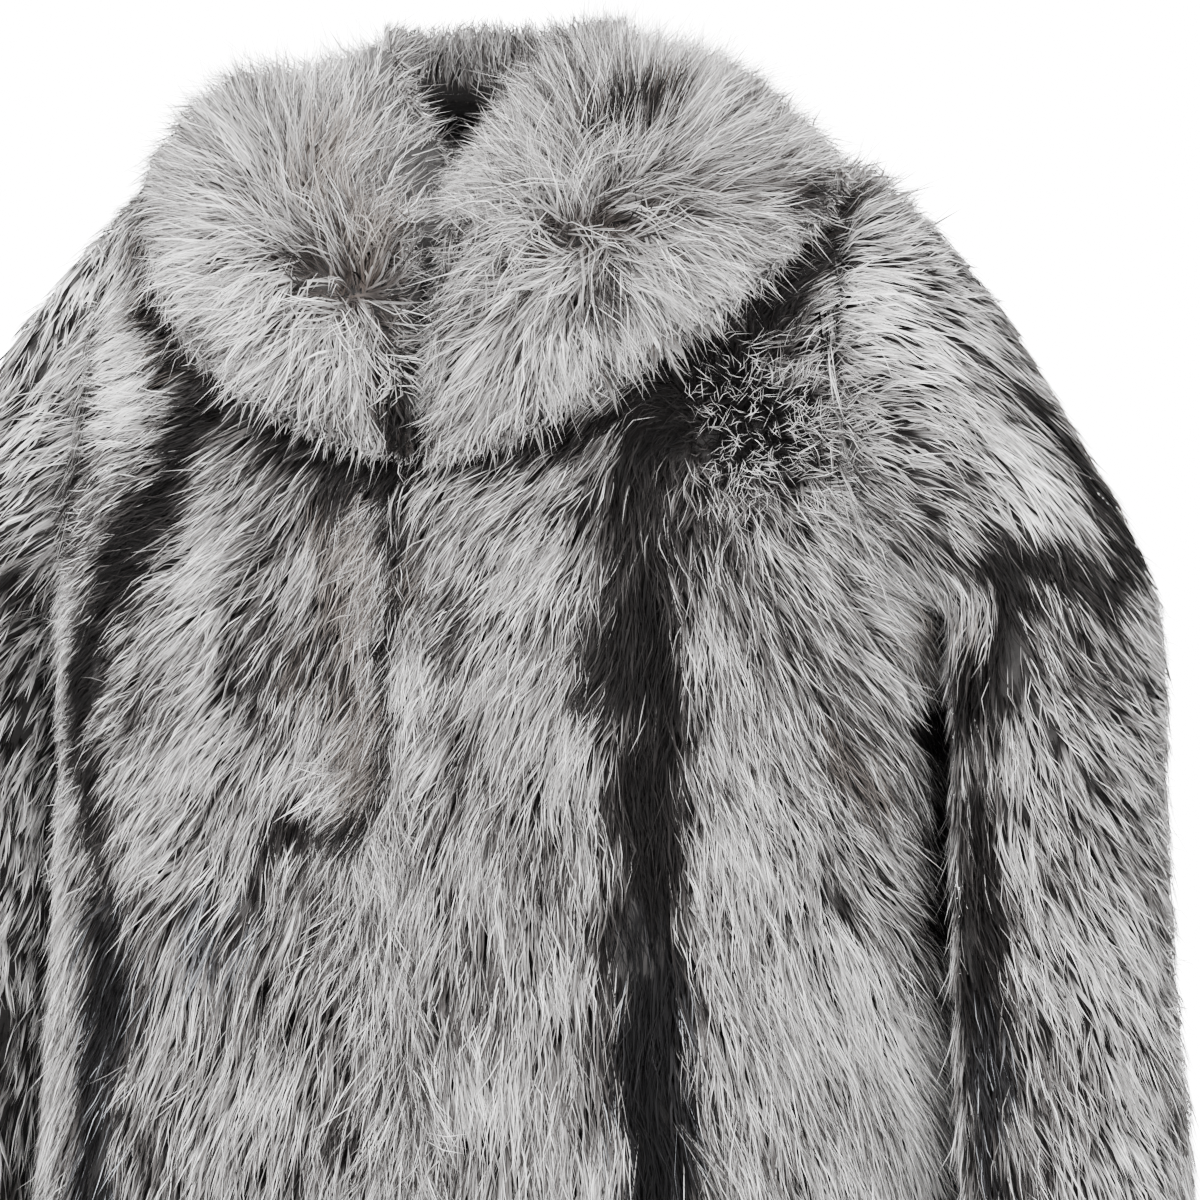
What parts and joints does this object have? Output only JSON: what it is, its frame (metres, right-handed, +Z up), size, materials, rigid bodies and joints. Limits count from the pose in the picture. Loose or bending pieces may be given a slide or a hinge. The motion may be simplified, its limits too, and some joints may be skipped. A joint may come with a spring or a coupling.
{
  "type": "fur coat",
  "caption": "Hip-length long-haired silver fox fur coat with a large round fur collar and full-length sleeves, in its hollow worn form.",
  "frame": {"origin": "centre of the neck opening at the height where the coat rests on the shoulders", "axes": "+Z up towards the head, -Y towards the front that the wearer faces, +X towards the wearer's left sleeve"},
  "size_m": [0.754, 0.3649, 0.8659],
  "materials": {
    "body_fur": "long silver guard hair over dark roots",
    "sleeve_fur": "long silver guard hair over dark roots",
    "collar_fur": "lofty silver guard hair over brown-grey underfur"
  },
  "bodies": {
    "root": {"front_left": "body_fur", "front_right": "body_fur", "back": "body_fur", "sleeve_left": "sleeve_fur", "sleeve_right": "sleeve_fur", "collar": "collar_fur"}
  },
  "joints": []
}
